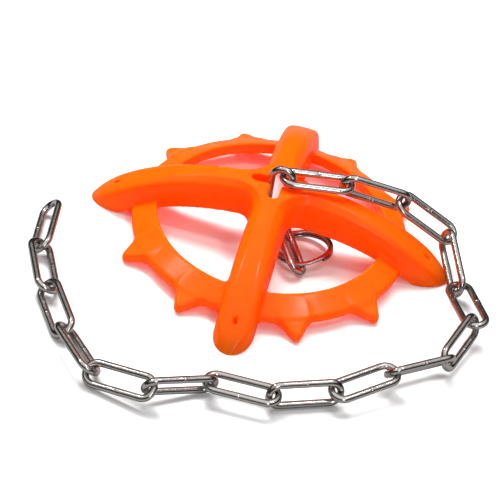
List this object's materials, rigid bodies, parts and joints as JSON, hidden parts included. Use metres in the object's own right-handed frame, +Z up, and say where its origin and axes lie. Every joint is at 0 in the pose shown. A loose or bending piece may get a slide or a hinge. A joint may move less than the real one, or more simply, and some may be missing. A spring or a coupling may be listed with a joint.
{
  "type": "hanging gnawing toy on a chain",
  "caption": "Orange moulded plastic dome with arms and a toothed ring, threaded on a long-link steel chain with a split ring below.",
  "frame": {"origin": "middle of the footprint of the whole part, on the floor that the feet and the chain lie on", "axes": "+Z up, along the dome's axis; +X to the right, along the arm that the chain leaves over; -Y towards the front arm"},
  "size_m": [0.1919, 0.1972, 0.0384],
  "materials": {
    "orange_plastic": "glossy moulded plastic, slightly translucent",
    "chain_steel": "polished stainless wire, butt welded",
    "ring_steel": "polished spring steel"
  },
  "bodies": {
    "dome_moulding": {"dome_moulding": "orange_plastic"},
    "link_01": {"link_01": "chain_steel"},
    "link_02": {"link_02": "chain_steel"},
    "link_03": {"link_03": "chain_steel"},
    "link_04": {"link_04": "chain_steel"},
    "link_05": {"link_05": "chain_steel"},
    "link_06": {"link_06": "chain_steel"},
    "link_07": {"link_07": "chain_steel"},
    "link_08": {"link_08": "chain_steel"},
    "link_09": {"link_09": "chain_steel"},
    "link_10": {"link_10": "chain_steel"},
    "link_11": {"link_11": "chain_steel"},
    "link_12": {"link_12": "chain_steel"},
    "link_13": {"link_13": "chain_steel"},
    "link_14": {"link_14": "chain_steel"},
    "link_15": {"link_15": "chain_steel"},
    "link_16": {"link_16": "chain_steel"},
    "link_17": {"link_17": "chain_steel"},
    "link_under": {"link_under": "chain_steel"},
    "split_ring": {"split_ring": "ring_steel"}
  },
  "joints": [
    {"name": "swing_01", "type": "hinge", "parent": "dome_moulding", "child": "link_01", "pos_m": [-0.0004, 0.0211, 0.0283], "axis": [0, 1, 0], "range_deg": [-6, 0]},
    {"name": "swing_02", "type": "hinge", "parent": "link_01", "child": "link_02", "pos_m": [-0.0004, 0.0211, 0.037], "axis": [1, 0, 0], "range_deg": [-2, 4]},
    {"name": "swing_03", "type": "hinge", "parent": "link_02", "child": "link_03", "pos_m": [0.0277, 0.02811, 0.03178], "axis": [-0.2419, 0.9703, 0], "range_deg": [-12, 0]},
    {"name": "swing_04", "type": "hinge", "parent": "link_03", "child": "link_04", "pos_m": [0.05141, 0.03402, 0.02523], "axis": [0.2787, -0.0561, 0.9587], "range_deg": [-2, 12]},
    {"name": "swing_05", "type": "hinge", "parent": "link_04", "child": "link_05", "pos_m": [0.07323, 0.03466, 0.01222], "axis": [0.1332, 0.9535, 0.2703], "range_deg": [-12, 6]},
    {"name": "swing_06", "type": "hinge", "parent": "link_05", "child": "link_06", "pos_m": [0.08106, 0.00943, 0.00507], "axis": [0.3513, -0.1527, 0.9237], "range_deg": [-12, 12]},
    {"name": "swing_07", "type": "hinge", "parent": "link_06", "child": "link_07", "pos_m": [0.09201, -0.01334, 0.00975], "axis": [0.8907, 0.4462, 0.0865], "range_deg": [-10, 12]},
    {"name": "swing_08", "type": "hinge", "parent": "link_07", "child": "link_08", "pos_m": [0.08249, -0.03794, 0.00732], "axis": [0.4042, -0.0662, -0.9123], "range_deg": [-10, 12]},
    {"name": "swing_09", "type": "hinge", "parent": "link_08", "child": "link_09", "pos_m": [0.06201, -0.05319, 0.00851], "axis": [0.3809, -0.4479, 0.8089], "range_deg": [-12, 12]},
    {"name": "swing_10", "type": "hinge", "parent": "link_09", "child": "link_10", "pos_m": [0.04325, -0.07006, 0.00658], "axis": [0.6709, -0.7342, -0.1043], "range_deg": [-12, 12]},
    {"name": "swing_11", "type": "hinge", "parent": "link_10", "child": "link_11", "pos_m": [0.01968, -0.0798, 0.00632], "axis": [0.0951, -0.2039, -0.9744], "range_deg": [-12, 6]},
    {"name": "swing_12", "type": "hinge", "parent": "link_11", "child": "link_12", "pos_m": [-0.00564, -0.07982, 0.00668], "axis": [0, -0.9986, -0.0523], "range_deg": [-8, 12]},
    {"name": "swing_13", "type": "hinge", "parent": "link_12", "child": "link_13", "pos_m": [-0.02675, -0.09459, 0.00922], "axis": [0.2665, -0.2197, 0.9385], "range_deg": [-8, 12]},
    {"name": "swing_14", "type": "hinge", "parent": "link_13", "child": "link_14", "pos_m": [-0.05138, -0.0888, 0.00424], "axis": [-0.0779, -0.8193, -0.568], "range_deg": [-12, 12]},
    {"name": "swing_15", "type": "hinge", "parent": "link_14", "child": "link_15", "pos_m": [-0.0671, -0.06808, 0.00497], "axis": [-0.6175, -0.4901, 0.6153], "range_deg": [-12, 12]},
    {"name": "swing_16", "type": "hinge", "parent": "link_15", "child": "link_16", "pos_m": [-0.07992, -0.04625, 0.00468], "axis": [-0.637, -0.3827, -0.6691], "range_deg": [-12, 12]},
    {"name": "swing_17", "type": "hinge", "parent": "link_16", "child": "link_17", "pos_m": [-0.09004, -0.02305, 0.00548], "axis": [-0.8033, -0.3666, 0.4694], "range_deg": [-12, 12]},
    {"name": "swing_link_under", "type": "hinge", "parent": "link_01", "child": "link_under", "pos_m": [-0.0004, 0.0211, 0.008], "axis": [1, 0, 0], "range_deg": [-12, 12]},
    {"name": "swing_split_ring", "type": "hinge", "parent": "link_under", "child": "split_ring", "pos_m": [0.01493, 0.00028, 0.00343], "axis": [0.5578, 0.5476, -0.6237], "range_deg": [-12, 2]}
  ]
}
